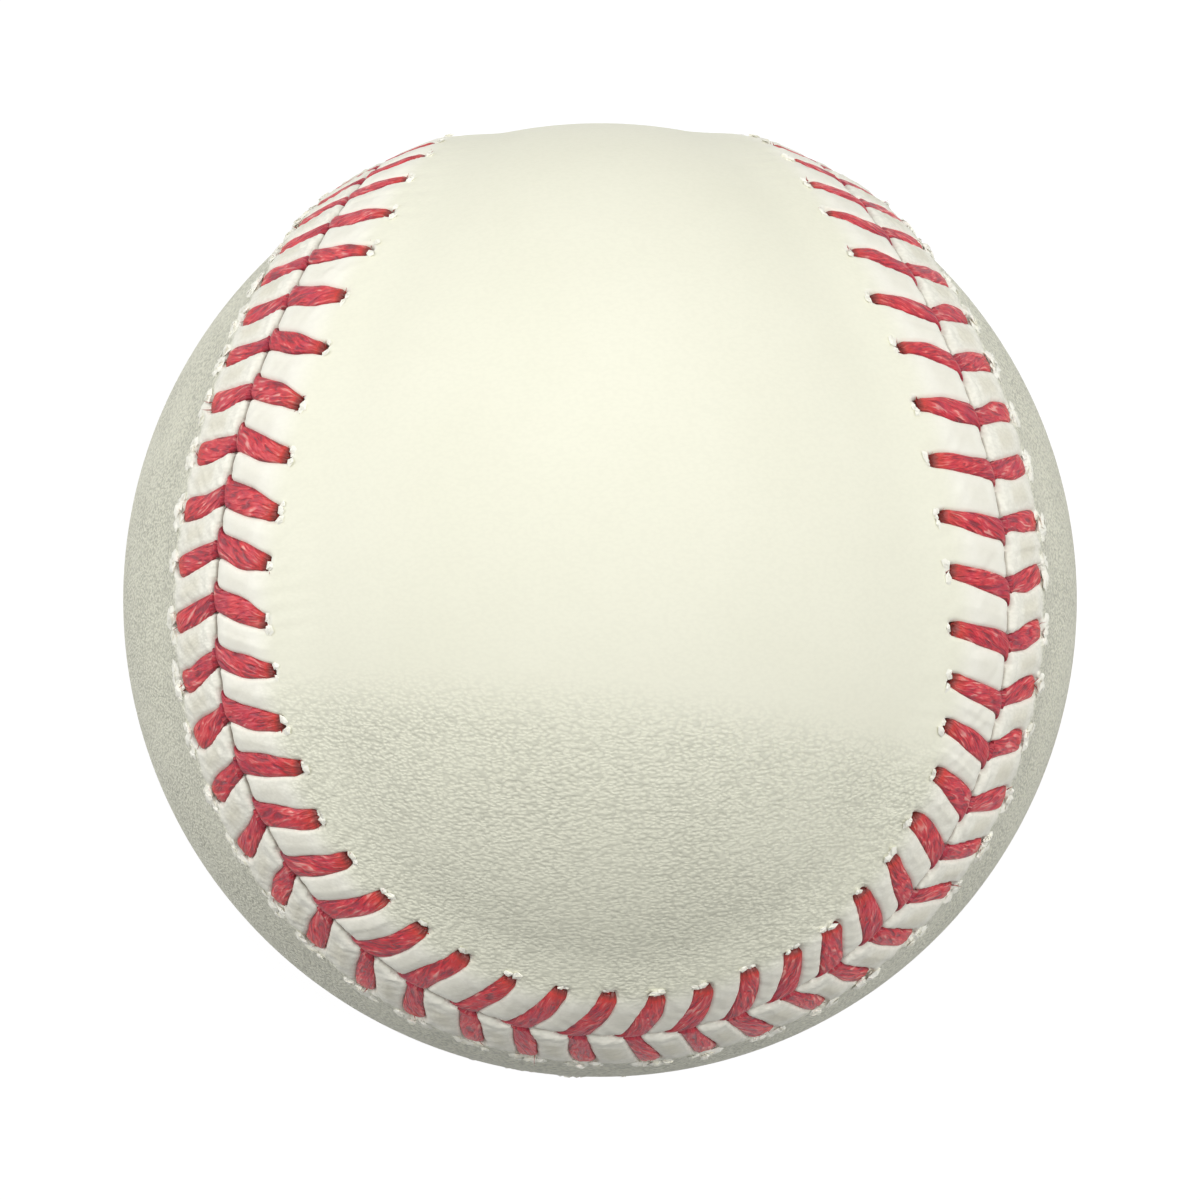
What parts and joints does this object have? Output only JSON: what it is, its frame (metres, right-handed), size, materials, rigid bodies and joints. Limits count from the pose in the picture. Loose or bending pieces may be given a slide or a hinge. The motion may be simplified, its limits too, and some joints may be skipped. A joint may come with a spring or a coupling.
{
  "type": "baseball",
  "caption": "Stitched leather ball: two figure-of-eight panels sewn with red thread over wound yarn and a cork and rubber centre.",
  "frame": {"origin": "centre of the ball", "axes": "+Y out through the waist of cover_panel_a; -Y out through the waist of cover_panel_b; +Z and -Z out through the middles of cover_panel_a's lobes; +X and -X out through the middles of cover_panel_b's lobes"},
  "size_m": [0.074, 0.074, 0.074],
  "materials": {
    "cork": "fine-grained composition cork",
    "black_rubber": "matte moulded",
    "red_rubber": "matte moulded",
    "gray_wool": "tightly wound wool yarn",
    "white_wool": "tightly wound wool yarn",
    "white_cotton": "fine cotton yarn",
    "cover_leather": "off-white, fine pebbled grain, low sheen",
    "red_thread": "waxed twisted cotton, pressed flat"
  },
  "bodies": {
    "root": {"cork_core": "cork", "black_rubber_half_top": "black_rubber", "black_rubber_half_bottom": "black_rubber", "red_rubber_washer": "red_rubber", "red_rubber_shell": "red_rubber", "winding_gray_inner": "gray_wool", "winding_white_middle": "white_wool", "winding_gray_outer": "gray_wool", "winding_cotton_finish": "white_cotton", "cover_panel_a": "cover_leather", "cover_panel_b": "cover_leather", "stitch_thread_a": "red_thread", "stitch_thread_b": "red_thread"}
  },
  "joints": []
}
